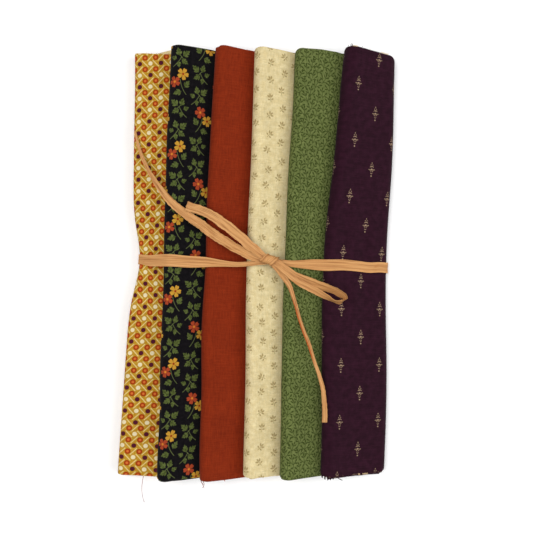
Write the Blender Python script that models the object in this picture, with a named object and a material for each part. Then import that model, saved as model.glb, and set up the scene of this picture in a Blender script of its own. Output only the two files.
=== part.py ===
"""Six fat quarters wound into flat rolls and tied side by side with one strand of raffia.

The rolls lie along Y on a surface at Z = 0. The first lies flat, and each of the others leans on
the one before it. The strand goes once round the middle and is tied in a bow on top.
All sizes in the tables are millimetres and degrees; the objects are made in metres.
"""
import math
from collections import namedtuple

import bmesh
import bpy
from mathutils import Vector

MM = 0.001

# Cloth and clearances
FOLDED_LENGTH = 229.0      # a fat quarter's 18 inch side, folded once
SECTION_AREA = 328.0       # width times thickness of one wound roll
LIP = 0.6                  # step at the free edge of a roll's outer turn, two cloths thick
GAP = 0.32                 # clearance between pieces that touch
SEAT = 0.3                 # how far each roll is pressed flat where it rests

# The strand, and its pull on the rolls
STRAND_THICK = 0.5
STRAND_FLOOR = 0.05        # height of the strand's underside where it passes below the rolls
TIE_ROOM = STRAND_FLOOR + STRAND_THICK + GAP
TIE_ROOM_REACH = 9.0       # how far along Y the room for the strand under the rolls fades out
TIE_ROOM_FLAT = 1.35       # keeps that room at its full height across the strand's width
SQUEEZE = 0.15             # share of a roll's thickness lost under the strand
SQUEEZE_REACH = 26.0
PINCH_REACH = 20.0         # how far along Y the first and last rolls' edges are drawn in

# Sections and the lengths between them
ROUND_STEPS = 8            # edges round each end of a section
FLAT_STEPS = 4             # edges along each flat side
LIP_STEP = 1               # flat edges between the raised round end and the free edge
STATION_COUNT = 25
STATION_CROWDING = 0.45    # share of even spacing; the rest crowds the sections at the strand
ROUTE_STEP = 2.0           # length between sections of the loops and tails
HALF_STRAND = 3.4          # half the strand's greatest width
BAND_SPAN = 12.0           # longest straight run of the band in one piece
MITRE_LEAST = 0.5          # keeps a sharp corner of the band from running out
SHARP_ANGLE = 35.0         # faces that meet at more than this are shaded apart
MOST_LEAN = 60.0
LEAN_TRIES = 30            # halvings of the lean until a roll just touches the one before

Station = namedtuple("Station", "along left width")
Roll = namedtuple("Roll", "name colour top longer slants pinch core corners edge stations")
Flat = namedtuple("Flat", "high low radius")
BandPlace = namedtuple("BandPlace", "x y width")
KnotPlace = namedtuple("KnotPlace", "along width height")
Turn = namedtuple("Turn", "x y z width across tilt")

# Each roll from its top end to its bottom end: its left edge seen from above, and its width when
# laid flat. Top is where it ends along Y, longer is how much it was cut over size, slants are how
# much shorter its low side is at the top and the bottom, pinch is how far the strand draws its left
# edge in, and core is how far the middle of the winding stands out of its ends. Corners are the
# radii of the high side, and of the low side at the top and the bottom. Edge is 2 for a round high
# side and more for one that is pressed to a crease.
ROLLS = (
    Roll("roll_mustard", (0.56, 0.33, 0.04), 112.1, 0.4, (0.0, -0.8), 5.0, -1.2, (1.2, 2.4, 2.2), 3.6, (
        Station(110, -71.5, 32.6),
        Station(57, -70.1, 31.6),
        Station(0, -69.9, 30.6),
        Station(-57, -70.9, 32.4),
        Station(-110, -72.7, 33.4))),
    Roll("roll_floral", (0.015, 0.012, 0.015), 113.7, 1.2, (0.0, 0.3), 0.3, 0.9, (0.9, 2.4, 2.2), 2.0, (
        Station(110, -50.4, 35.2),
        Station(57, -50.6, 35.6),
        Station(0, -50.6, 36.0),
        Station(-57, -50.1, 35.4),
        Station(-110, -49.8, 35.0))),
    Roll("roll_rust", (0.26, 0.045, 0.02), 114.7, 2.3, (0.0, 1.0), 0.3, -0.8, (0.8, 2.4, 2.2), 2.0, (
        Station(110, -26.9, 35.4),
        Station(57, -28.0, 35.0),
        Station(0, -28.8, 36.0),
        Station(-57, -28.4, 35.6),
        Station(-110, -27.2, 35.8))),
    Roll("roll_cream", (0.72, 0.62, 0.38), 114.4, -1.1, (0.2, 0.0), 0.4, 0.7, (1.3, 2.4, 2.2), 2.0, (
        Station(110, -5.6, 34.8),
        Station(57, -5.8, 35.0),
        Station(0, -6.3, 34.8),
        Station(-57, -5.0, 34.2),
        Station(-110, -4.0, 33.9))),
    Roll("roll_green", (0.13, 0.17, 0.06), 114.5, -0.9, (-0.9, 0.0), 0.3, -1.0, (1.8, 2.4, 2.2), 2.0, (
        Station(110, 15.9, 36.2),
        Station(57, 14.8, 35.8),
        Station(0, 13.8, 34.9),
        Station(-57, 14.5, 35.4),
        Station(-110, 15.4, 35.2))),
    Roll("roll_plum", (0.045, 0.012, 0.03), 117.4, 0.0, (2.2, 0.0), 0.5, 1.0, (1.6, 4.6, 3.4), 2.0, (
        Station(110, 42.0, 31.9),
        Station(57, 38.2, 36.0),
        Station(0, 34.7, 38.2),
        Station(-57, 36.1, 39.4),
        Station(-110, 37.1, 38.8))),
)

# The ends of a roll, as shares of its half thickness and lengths back from its end. The outer
# turns round over, and the middle of the winding stands at its own depth.
END_RINGS = ((0.93, 0.0), (0.60, 0.15))
END_ROUND = 0.8
CORE_SHARE = 0.42
CORNER_REACH = 22.0        # length over which a rounded corner draws the cloth back

# The strand's section, as shares of half its width and half its thickness
STRAND_LENS = ((-1, 0), (-0.75, 0.8), (0, 1), (0.75, 0.8), (1, 0), (0.75, -0.8), (0, -1), (-0.75, -0.8))

# The band's place and width along the top. Below the rolls it is straight and even.
BAND_TOP = (
    BandPlace(-65, -1.3, 6.3),
    BandPlace(-45, -0.3, 6.4),
    BandPlace(-28, -0.1, 5.0),
    BandPlace(-8, -0.6, 2.6),
    BandPlace(6, 1.0, 2.4),
    BandPlace(22, -0.2, 4.4),
    BandPlace(37, 0.3, 6.8),
    BandPlace(70, -0.5, 6.4),
)
BAND_UNDER_WIDTH = 6.2

KNOT_CENTRE = (6.1, 2.4, 21.2)
KNOT_HEADING = -8.0
KNOT = (
    KnotPlace(-5.2, 1.8, 1.2),
    KnotPlace(-3.8, 3.4, 2.2),
    KnotPlace(-1.4, 4.4, 2.8),
    KnotPlace(1.4, 4.3, 2.8),
    KnotPlace(3.8, 3.4, 2.2),
    KnotPlace(5.2, 1.8, 1.2),
)
KNOT_SIDES = 12

# The strand's loops and tails, from the knot outwards: centre line, width, the heading of the
# width seen from above, and how far the width is turned up out of level.
LOOP_LEFT = (
    Turn(1.2, 4.8, 21.3, 2.2, 52, 0),
    Turn(-3.9, 8.9, 22.2, 4.2, 50, 0),
    Turn(-10.7, 14.5, 23.0, 5.2, 52, 0),
    Turn(-19.7, 21.0, 23.8, 5.2, 56, 0),
    Turn(-27.8, 25.7, 24.2, 4.6, 66, 0),
    Turn(-37.0, 28.4, 24.3, 4.9, 74, 0),
    Turn(-38.3, 28.7, 23.7, 5.0, 74, 0),
    Turn(-37.0, 28.4, 23.1, 4.9, 74, 0),
    Turn(-27.8, 25.7, 22.9, 4.6, 66, 0),
    Turn(-19.7, 21.0, 22.5, 5.0, 56, 0),
    Turn(-10.7, 14.5, 21.8, 4.8, 52, 0),
    Turn(-3.9, 8.9, 21.0, 4.0, 50, 0),
    Turn(1.0, 4.8, 20.3, 2.0, 52, 0),
)
LOOP_RIGHT = (
    Turn(12.3, 1.6, 20.9, 2.0, 60, 10),
    Turn(17.5, -2.6, 21.0, 3.0, 62, 15),
    Turn(26.5, -6.2, 21.2, 4.6, 62, 25),
    Turn(35.0, -10.6, 21.0, 5.8, 60, 42),
    Turn(42.2, -14.2, 20.6, 6.2, 58, 50),
    Turn(46.0, -17.6, 20.2, 6.2, 55, 55),
    Turn(43.2, -20.2, 20.8, 6.0, 58, 60),
    Turn(37.0, -18.4, 21.6, 5.2, 60, 58),
    Turn(28.5, -13.6, 21.4, 4.2, 60, 35),
    Turn(20.0, -8.2, 21.0, 3.0, 60, 15),
    Turn(12.6, -1.0, 20.9, 2.0, 55, 10),
)
TAIL_LEFT = (
    Turn(0.2, 2.3, 20.1, 1.8, 62, 0),
    Turn(-9.6, 6.6, 20.4, 4.6, 65, 0),
    Turn(-23.0, 14.2, 21.0, 5.2, 60, 0),
    Turn(-31.0, 19.6, 21.3, 5.2, 58, 0),
    Turn(-38.2, 24.3, 21.8, 4.8, 56, 0),
    Turn(-46.8, 30.9, 22.5, 4.2, 50, 0),
    Turn(-53.2, 38.1, 19.2, 3.4, 40, 0),
    Turn(-60.7, 48.4, 14.2, 2.4, 32, 0),
    Turn(-66.2, 59.7, 11.2, 1.7, 22, 0),
    Turn(-69.0, 69.2, 10.4, 1.1, 14, 0),
)
TAIL_RIGHT = (
    Turn(8.2, -0.6, 20.4, 2.0, 48, 0),
    Turn(11.9, -4.2, 20.3, 2.6, 42, 0),
    Turn(16.3, -9.9, 20.4, 2.6, 34, 0),
    Turn(18.6, -14.8, 20.9, 2.0, 24, 0),
    Turn(20.4, -20.2, 21.5, 1.6, 18, 0),
    Turn(24.0, -31.0, 22.1, 1.4, 20, 0),
    Turn(28.7, -42.3, 22.2, 1.5, 22, 0),
    Turn(31.6, -50.6, 22.0, 1.8, 20, 0),
    Turn(34.6, -58.1, 21.7, 2.0, 18, 0),
    Turn(36.6, -65.2, 21.4, 2.3, 12, 0),
    Turn(37.7, -73.5, 21.2, 2.6, 6, 0),
    Turn(38.1, -82.3, 21.2, 2.7, 0, 0),
)
STRAND_COLOUR = (0.61, 0.31, 0.11)
CLOTH_ROUGHNESS = 0.9
STRAND_ROUGHNESS = 0.55


def smooth(pairs, at):
    """Value at one place on a smooth curve through (place, value) pairs."""
    pairs = sorted(pairs)
    places = [p[0] for p in pairs]
    values = [p[1] for p in pairs]
    slopes = []
    for i in range(len(pairs)):
        before = max(i - 1, 0)
        after = min(i + 1, len(pairs) - 1)
        slopes.append((values[after] - values[before]) / (places[after] - places[before]))
    if at <= places[0]:
        return values[0] + slopes[0] * (at - places[0])
    if at >= places[-1]:
        return values[-1] + slopes[-1] * (at - places[-1])
    i = max(k for k in range(len(places) - 1) if places[k] <= at)
    span = places[i + 1] - places[i]
    t = (at - places[i]) / span
    return ((2 * t ** 3 - 3 * t ** 2 + 1) * values[i]
            + (t ** 3 - 2 * t ** 2 + t) * span * slopes[i]
            + (3 * t ** 2 - 2 * t ** 3) * values[i + 1]
            + (t ** 3 - t ** 2) * span * slopes[i + 1])


def fade(along, reach):
    """One at the strand, falling smoothly to nothing away from it."""
    return math.exp(-(along / reach) ** 2)


def floor_at(along):
    """Height of the rolls' underside: the surface, raised where the strand passes below."""
    return TIE_ROOM * min(1.0, TIE_ROOM_FLAT * fade(along, TIE_ROOM_REACH))


def distance_to_segment(point, start, end):
    """Shortest distance from a point to a straight segment."""
    line = end - start
    t = (point - start).dot(line) / line.length_squared
    return (point - start - line * min(max(t, 0.0), 1.0)).length


def clearance(one, other):
    """Free space between two flat rolls, each the set of points near a segment."""
    apart = min(distance_to_segment(one.high, other.high, other.low),
                distance_to_segment(one.low, other.high, other.low),
                distance_to_segment(other.high, one.high, one.low),
                distance_to_segment(other.low, one.high, one.low))
    return apart - one.radius - other.radius


def place_flat(left, width, thick, lean):
    """A section whose left edge is at left, leaning up to the left, with its low side seated."""
    radius = thick / 2
    reach = width - thick
    low_height = radius - LIP - SEAT
    high = Vector((left + radius, low_height + reach * math.sin(lean)))
    low = Vector((left + radius + reach * math.cos(lean), low_height))
    return Flat(high, low, radius)


def flats_at(along):
    """The six sections at one place along the bundle, each leant on the one before it."""
    placed = []
    squeeze = 1 - SQUEEZE * fade(along, SQUEEZE_REACH)
    for roll in ROLLS:
        pinch = roll.pinch * fade(along, PINCH_REACH)
        left = smooth([(s.along, s.left) for s in roll.stations], along) + pinch
        width = smooth([(s.along, s.width) for s in roll.stations], along)
        thick = SECTION_AREA / width * squeeze
        width -= pinch
        least = 0.0
        most = math.radians(MOST_LEAN) if placed else 0.0
        for _ in range(LEAN_TRIES):
            lean = (least + most) / 2
            if placed and clearance(place_flat(left, width, thick, lean), placed[-1]) < GAP:
                least = lean
            else:
                most = lean
        placed.append(place_flat(left, width, thick, most))
    return placed


def creased(angle, edge):
    """Directions round a high side that is round at an edge of 2 and squarer above that."""
    along = math.cos(angle)
    across = math.sin(angle)
    return (math.copysign(abs(along) ** (2 / edge), along),
            math.copysign(abs(across) ** (2 / edge), across))


def outline_points(flat, share, floor, edge):
    """Outline of a flat roll, or of its winding at a share of its half thickness.

    It runs once round from the free edge on the underside, and rises by the lip on the way.
    """
    down = (flat.low - flat.high).normalized()
    up = Vector((-down.y, down.x))
    steps = [(i / FLAT_STEPS, -0.5) for i in range(LIP_STEP, FLAT_STEPS)]
    steps += [(1.0, i / ROUND_STEPS - 0.5) for i in range(ROUND_STEPS + 1)]
    steps += [(1 - i / FLAT_STEPS, 0.5) for i in range(1, FLAT_STEPS)]
    steps += [(0.0, i / ROUND_STEPS + 0.5) for i in range(ROUND_STEPS + 1)]
    steps += [(i / FLAT_STEPS, 1.5) for i in range(1, LIP_STEP + 1)]
    outline = []
    for i, (leg, half_turns) in enumerate(steps):
        radius = (flat.radius - LIP * (1 - i / (len(steps) - 1))) * share
        a, b = creased(math.pi * half_turns, edge if half_turns > 0.5 else 2)
        point = flat.high.lerp(flat.low, leg) + (down * a + up * b) * radius
        outline.append(Vector((point.x, max(point.y, floor))))
    return outline


def material(name, colour, roughness):
    """A plain finish in the piece's own colour."""
    finish = bpy.data.materials.new(name)
    finish.use_nodes = True
    shader = finish.node_tree.nodes["Principled BSDF"]
    shader.inputs["Base Color"].default_value = (*colour, 1.0)
    shader.inputs["Roughness"].default_value = roughness
    finish.diffuse_color = (*colour, 1.0)
    return finish


def loft(name, rings, finish, closed=False):
    """A closed solid through rings of points in millimetres, capped unless it is a hoop."""
    bm = bmesh.new()
    rows = [[bm.verts.new(Vector(p) * MM) for p in ring] for ring in rings]
    count = len(rings[0])
    pairs = list(zip(rows, rows[1:]))
    if closed:
        pairs.append((rows[-1], rows[0]))
    else:
        bm.faces.new(rows[0])
        bm.faces.new(rows[-1])
    for one, other in pairs:
        for i in range(count):
            j = (i + 1) % count
            bm.faces.new((one[i], one[j], other[j], other[i]))
    bmesh.ops.recalc_face_normals(bm, faces=bm.faces)
    mesh = bpy.data.meshes.new(name)
    bm.to_mesh(mesh)
    bm.free()
    mesh.materials.append(finish)
    mesh.shade_smooth()
    mesh.set_sharp_from_angle(angle=math.radians(SHARP_ANGLE))
    piece = bpy.data.objects.new(name, mesh)
    bundle.objects.link(piece)
    return piece


def station_places():
    """Places of the sections along Y, closer together near the strand."""
    even = [2 * i / (STATION_COUNT - 1) - 1 for i in range(STATION_COUNT)]
    half = FOLDED_LENGTH / 2
    return [half * (STATION_CROWDING * u + (1 - STATION_CROWDING) * u ** 3) for u in even]


def corner_drop(distance, radius):
    """How far a rounded corner falls short of the end, at a distance in from the side."""
    inside = max(radius - distance, 0.0)
    return radius - math.sqrt(radius ** 2 - inside ** 2)


def make_roll(index):
    """One wound roll, with rounded ends where the middle of the winding shows."""
    roll = ROLLS[index]
    top = roll.top
    bottom = roll.top - FOLDED_LENGTH - roll.longer
    high_corner, top_corner, bottom_corner = roll.corners

    def ring(along, share):
        flat = flats_at(along)[index]
        left = flat.high.x - flat.radius
        right = flat.low.x + flat.radius
        points = []
        for p in outline_points(flat, share, floor_at(along), roll.edge):
            over = (p.x - left) / (right - left)
            high_drop = corner_drop(p.x - left, high_corner)
            top_drop = max(high_drop, corner_drop(right - p.x, top_corner)) + roll.slants[0] * over
            bottom_drop = (max(high_drop, corner_drop(right - p.x, bottom_corner))
                           + roll.slants[1] * over)
            y = (along - top_drop * max(0.0, 1 - (top - along) / CORNER_REACH)
                 + bottom_drop * max(0.0, 1 - (along - bottom) / CORNER_REACH))
            points.append((p.x, y, p.y))
        return points

    inner = [y for y in station_places()
             if bottom + 2 * END_ROUND < y < top - 2 * END_ROUND]
    end_shares = [(END_ROUND, 1.0)] + [(back, share) for share, back in END_RINGS]
    end_shares.append((-roll.core, CORE_SHARE))
    rings = [ring(bottom + back, share) for back, share in reversed(end_shares)]
    rings += [ring(y, 1.0) for y in inner]
    rings += [ring(top - back, share) for back, share in end_shares]
    loft(roll.name, rings, material(roll.name, roll.colour, CLOTH_ROUGHNESS))


def strand_ring(centre, along, across, width):
    """A thin lens-shaped section of the strand, wider than thick, square to its route."""
    across = (across - along * across.dot(along)).normalized()
    face = along.cross(across)
    half = width / 2
    rise = STRAND_THICK / 2
    return [centre + across * (half * a) + face * (rise * b) for a, b in STRAND_LENS]


def band_route():
    """The band's centre line round the rolls: the taut hull of their sections, moved outwards."""
    points = []
    for along in (-HALF_STRAND, 0.0, HALF_STRAND):
        for flat, roll in zip(flats_at(along), ROLLS):
            points += [tuple(p) for p in outline_points(flat, 1.0, floor_at(along), roll.edge)]
    points = sorted(set(points))
    hull = []
    for run in (points, points[::-1]):
        side = []
        for p in run:
            while len(side) > 1 and (Vector(side[-1]) - Vector(side[-2])).cross(
                    Vector(p) - Vector(side[-2])) <= 0:
                side.pop()
            side.append(p)
        hull += side[:-1]
    hull = [Vector(p) for p in hull]
    spaced = []
    for here, ahead in zip(hull, hull[1:] + hull[:1]):
        if spaced and (here - spaced[-1]).length < STRAND_THICK:
            continue
        runs = max(1, math.ceil((ahead - here).length / BAND_SPAN))
        spaced += [here.lerp(ahead, i / runs) for i in range(runs)]
    offset = GAP + STRAND_THICK / 2
    route = []
    for i, here in enumerate(spaced):
        into = (here - spaced[i - 1]).normalized()
        out = (spaced[(i + 1) % len(spaced)] - here).normalized()
        bisector = (into + out).normalized()
        outward = Vector((bisector.y, -bisector.x))
        route.append(here + outward * offset / max(bisector.dot(into), MITRE_LEAST))
    return route


def make_band(finish):
    """The strand's turn round the bundle, gathered narrow where it runs into the knot."""
    route = band_route()
    rings = []
    for i, here in enumerate(route):
        ahead = route[(i + 1) % len(route)] - route[i - 1]
        along = Vector((ahead.x, 0, ahead.y)).normalized()
        on_top = ahead.x < 0
        side = smooth([(p.x, p.y) for p in BAND_TOP], here.x)
        width = smooth([(p.x, p.width) for p in BAND_TOP], here.x) if on_top else BAND_UNDER_WIDTH
        rings.append(strand_ring(Vector((here.x, side, here.y)), along, Vector((0, 1, 0)), width))
    loft("raffia_band", rings, finish, closed=True)


def make_knot(finish):
    """The bow's knot, a flat lump with rounded ends."""
    heading = math.radians(KNOT_HEADING)
    along = Vector((math.cos(heading), math.sin(heading), 0))
    across = Vector((-along.y, along.x, 0))
    rings = []
    for place in KNOT:
        centre = Vector(KNOT_CENTRE) + along * place.along
        ring = []
        for i in range(KNOT_SIDES):
            angle = 2 * math.pi * i / KNOT_SIDES
            ring.append(centre + across * (place.width / 2 * math.cos(angle))
                        + Vector((0, 0, place.height / 2 * math.sin(angle))))
        rings.append(ring)
    loft("raffia_knot", rings, finish)


def make_strand(name, turns, finish):
    """A loop or a tail of the strand, along a smooth route through its turns."""
    travelled = [0.0]
    for here, ahead in zip(turns, turns[1:]):
        travelled.append(travelled[-1] + (Vector(ahead[:3]) - Vector(here[:3])).length)
    columns = [list(zip(travelled, column)) for column in zip(*turns)]

    def at(place):
        return Turn(*(smooth(column, place) for column in columns))

    places = []
    for start, end in zip(travelled, travelled[1:]):
        steps = max(1, round((end - start) / ROUTE_STEP))
        places += [start + (end - start) * i / steps for i in range(steps)]
    places.append(travelled[-1])
    routed = [at(place) for place in places]
    rings = []
    for i, here in enumerate(routed):
        before = Vector(routed[max(i - 1, 0)][:3])
        after = Vector(routed[min(i + 1, len(routed) - 1)][:3])
        heading = math.radians(here.across)
        tilt = math.radians(here.tilt)
        across = Vector((math.cos(heading) * math.cos(tilt), math.sin(heading) * math.cos(tilt),
                         math.sin(tilt)))
        rings.append(strand_ring(Vector(here[:3]), (after - before).normalized(), across,
                                 here.width))
    loft(name, rings, finish)


for old in list(bpy.data.objects):
    bpy.data.objects.remove(old, do_unlink=True)

bundle = bpy.data.collections.new("rolled_fat_quarter_bundle")
bpy.context.scene.collection.children.link(bundle)
for number in range(len(ROLLS)):
    make_roll(number)
raffia = material("raffia", STRAND_COLOUR, STRAND_ROUGHNESS)
make_band(raffia)
make_knot(raffia)
make_strand("raffia_loop_left", LOOP_LEFT, raffia)
make_strand("raffia_loop_right", LOOP_RIGHT, raffia)
make_strand("raffia_tail_left", TAIL_LEFT, raffia)
make_strand("raffia_tail_right", TAIL_RIGHT, raffia)
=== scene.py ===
import math
from collections import namedtuple

import bpy
import numpy as np
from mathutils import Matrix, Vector


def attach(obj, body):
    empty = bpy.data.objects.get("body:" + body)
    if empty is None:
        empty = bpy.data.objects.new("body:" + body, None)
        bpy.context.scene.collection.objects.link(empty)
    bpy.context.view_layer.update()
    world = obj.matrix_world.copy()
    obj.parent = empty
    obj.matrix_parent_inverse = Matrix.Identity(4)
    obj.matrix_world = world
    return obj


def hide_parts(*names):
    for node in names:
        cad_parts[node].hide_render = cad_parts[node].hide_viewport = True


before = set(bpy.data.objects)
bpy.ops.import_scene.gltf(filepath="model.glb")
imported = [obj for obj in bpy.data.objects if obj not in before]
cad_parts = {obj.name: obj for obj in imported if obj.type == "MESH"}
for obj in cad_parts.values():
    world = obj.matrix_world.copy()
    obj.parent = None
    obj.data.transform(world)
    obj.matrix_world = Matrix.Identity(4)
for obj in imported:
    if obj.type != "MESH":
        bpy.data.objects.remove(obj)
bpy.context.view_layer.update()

# The bundle lies on a plain pale table under broad soft light from above and from both sides. The
# camera looks straight down from a little off the bundle's middle, and is turned a little.
MM = 0.001
TABLE_SIDE = 3.0
TABLE_DROP = 0.2 * MM
CAMERA_PLACE = (4.65 * MM, -1.39 * MM, 400 * MM)
CAMERA_TURN = math.radians(2.0)
PICTURE_SIDE = 533
FOCAL_PIXELS = 720
SENSOR = 36.0
Light = namedtuple("Light", "name place size watts")
LIGHTS = (
    Light("left_panel", (-0.60, 0.12, 1.30), 1.0, 10.0),
    Light("right_panel", (0.80, 0.0, 0.75), 0.8, 5.3),
    Light("top_panel", (-0.05, 0.0, 1.5), 1.2, 9.0),
)
SKY = 0.2                   # strength of the light from all round
TABLE_PAINT = (0.99, 0.99, 0.99, 1)


def new_material(name, roughness, specular=0.5):
    """A material with its node tree and its shader."""
    material = bpy.data.materials.new(name)
    material.use_nodes = True
    shader = material.node_tree.nodes["Principled BSDF"]
    shader.inputs["Roughness"].default_value = roughness
    shader.inputs["Specular IOR Level"].default_value = specular
    return material, material.node_tree, shader


scene = bpy.context.scene
scene.view_settings.view_transform = "Standard"
camera_data = bpy.data.cameras.new("camera")
camera_data.sensor_width = SENSOR
camera_data.lens = FOCAL_PIXELS / PICTURE_SIDE * SENSOR
camera_data.clip_start = 0.01
camera = bpy.data.objects.new("camera", camera_data)
camera.location = CAMERA_PLACE
camera.rotation_euler = (0, 0, CAMERA_TURN)
scene.collection.objects.link(camera)
scene.camera = camera

world = bpy.data.worlds.new("studio")
world.use_nodes = True
world.node_tree.nodes["Background"].inputs["Color"].default_value = (1, 1, 1, 1)
world.node_tree.nodes["Background"].inputs["Strength"].default_value = SKY
scene.world = world
for light in LIGHTS:
    panel = bpy.data.lights.new(light.name, "AREA")
    panel.shape = "SQUARE"
    panel.size = light.size
    panel.energy = light.watts
    lamp = bpy.data.objects.new(light.name, panel)
    lamp.location = light.place
    lamp.rotation_euler = (-Vector(light.place)).to_track_quat("-Z", "Y").to_euler()
    scene.collection.objects.link(lamp)

bpy.ops.object.select_all(action="DESELECT")
bpy.ops.mesh.primitive_plane_add(size=TABLE_SIDE, location=(0, 0, -TABLE_DROP))
table = bpy.context.object
table.name = "table_top"
paint, tree, shader = new_material("table_paint", 0.9)
shader.inputs["Base Color"].default_value = TABLE_PAINT
table.data.materials.append(paint)

# The strand is one length of raffia: a leaf skin peeled off in a strip about 5 mm wide that
# creases lengthwise as it dries. Its two free tails leave the knot, one up over the first two
# rolls and one down over the last two.
Turn = namedtuple("Turn", "x y z width across tilt")    # millimetres, then degrees
TAIL_LEFT = (
    Turn(3.4, 1.9, 20.1, 2.4, 62, 0),
    Turn(0.2, 2.3, 20.1, 3.4, 62, 0),
    Turn(-9.6, 6.6, 20.4, 4.7, 65, 0),
    Turn(-23.0, 14.2, 21.0, 5.2, 60, 0),
    Turn(-31.0, 19.6, 21.3, 5.2, 58, 0),
    Turn(-38.2, 24.3, 21.8, 4.6, 56, 0),
    Turn(-46.8, 30.9, 22.5, 4.0, 50, 0),
    Turn(-53.2, 38.1, 19.2, 3.1, 40, 0),
    Turn(-60.7, 48.4, 14.2, 2.1, 32, 0),
    Turn(-66.2, 59.7, 11.2, 1.7, 22, 0),
    Turn(-69.0, 69.2, 10.4, 1.1, 14, 0),
)
TAIL_RIGHT = (
    Turn(6.7, 1.0, 20.0, 2.0, 50, 0),
    Turn(8.2, -0.6, 20.4, 2.4, 48, 0),
    Turn(11.9, -4.2, 20.3, 2.8, 42, 0),
    Turn(16.3, -9.9, 20.4, 2.7, 34, 0),
    Turn(18.6, -14.8, 20.9, 2.2, 24, 0),
    Turn(20.4, -20.2, 21.5, 1.9, 18, 0),
    Turn(24.0, -31.0, 22.1, 1.8, 20, 0),
    Turn(28.7, -42.3, 22.2, 1.9, 22, 0),
    Turn(31.6, -50.6, 22.0, 1.7, 20, 0),
    Turn(34.6, -58.1, 21.7, 2.0, 18, 0),
    Turn(36.6, -65.2, 21.4, 2.3, 12, 0),
    Turn(37.7, -73.5, 21.2, 2.6, 6, 0),
    Turn(38.1, -82.3, 21.2, 2.8, 0, 0),
)
ROUTE_STEP = 0.6
SKIN = 0.22                 # thickness of the strip, in millimetres as in the tables
SKIN_EDGE = 0.35            # share of that thickness left at its edges
CREASE = 0.24               # height of its lengthwise creases
CURL = 0.35                 # how far its edges curl up or down
FULL_CREASE = 4.8           # width from which a strip has its creases and curl at full height
ACROSS_STEPS = 20
JOINED_WANDER = 20.0        # how far the creases of a joined strip wander round it and back


def smooth(places, values, at):
    """Values on a smooth curve through the given ones, at one or more places."""
    places = np.asarray(places, float)
    values = np.asarray(values, float)
    at = np.asarray(at, float)
    after = np.minimum(np.arange(len(places)) + 1, len(places) - 1)
    before = np.maximum(np.arange(len(places)) - 1, 0)
    slopes = (values[after] - values[before]) / (places[after] - places[before])
    i = np.clip(np.searchsorted(places, at, side="right") - 1, 0, len(places) - 2)
    span = places[i + 1] - places[i]
    t = np.clip((at - places[i]) / span, 0, 1)
    inside = ((2 * t ** 3 - 3 * t ** 2 + 1) * values[i]
              + (t ** 3 - 2 * t ** 2 + t) * span * slopes[i]
              + (3 * t ** 2 - 2 * t ** 3) * values[i + 1]
              + (t ** 3 - t ** 2) * span * slopes[i + 1])
    low = slopes[0] * np.minimum(at - places[0], 0)
    high = slopes[-1] * np.maximum(at - places[-1], 0)
    return inside + low + high


def waves(seed, *fields, low=0.6, high=2.2):
    """Gentle uneven swings between about -1 and 1 that depend on all the fields together."""
    draw = np.random.default_rng(seed)
    total, count = 0.0, 5
    for _ in range(count):
        phase = draw.uniform(0, 2 * math.pi)
        for field in fields:
            phase = phase + draw.choice((-1, 1)) * draw.uniform(low, high) * field
        total = total + np.sin(phase)
    return total / count ** 0.5


def unit(vectors):
    return vectors / np.maximum(np.linalg.norm(vectors, axis=-1, keepdims=True), 1e-12)


def run_along(points):
    """How far along a route each of its points lies."""
    return np.concatenate(([0], np.cumsum(np.linalg.norm(np.diff(points, axis=0), axis=1))))


def mesh_piece(name, corners, faces, material, maps, shares, smooth_angle=math.radians(40)):
    """An object with its place in its mesh.

    maps are UV maps by name, with a place for each corner of each face. shares are values of each
    vertex that its material reads by name.
    """
    mesh = bpy.data.meshes.new(name)
    mesh.from_pydata(corners.tolist(), [], faces)
    for map_name, per_corner in maps.items():
        layer = mesh.uv_layers.new(name=map_name)
        layer.data.foreach_set("uv", np.asarray(per_corner, np.float32).ravel())
    for share_name, values in shares.items():
        layer = mesh.attributes.new(share_name, "FLOAT", "POINT")
        layer.data.foreach_set("value", np.asarray(values, np.float32).ravel())
    mesh.materials.append(material)
    mesh.shade_smooth()
    mesh.set_sharp_from_angle(angle=smooth_angle)
    piece = bpy.data.objects.new(name, mesh)
    scene.collection.objects.link(piece)
    return piece


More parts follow.
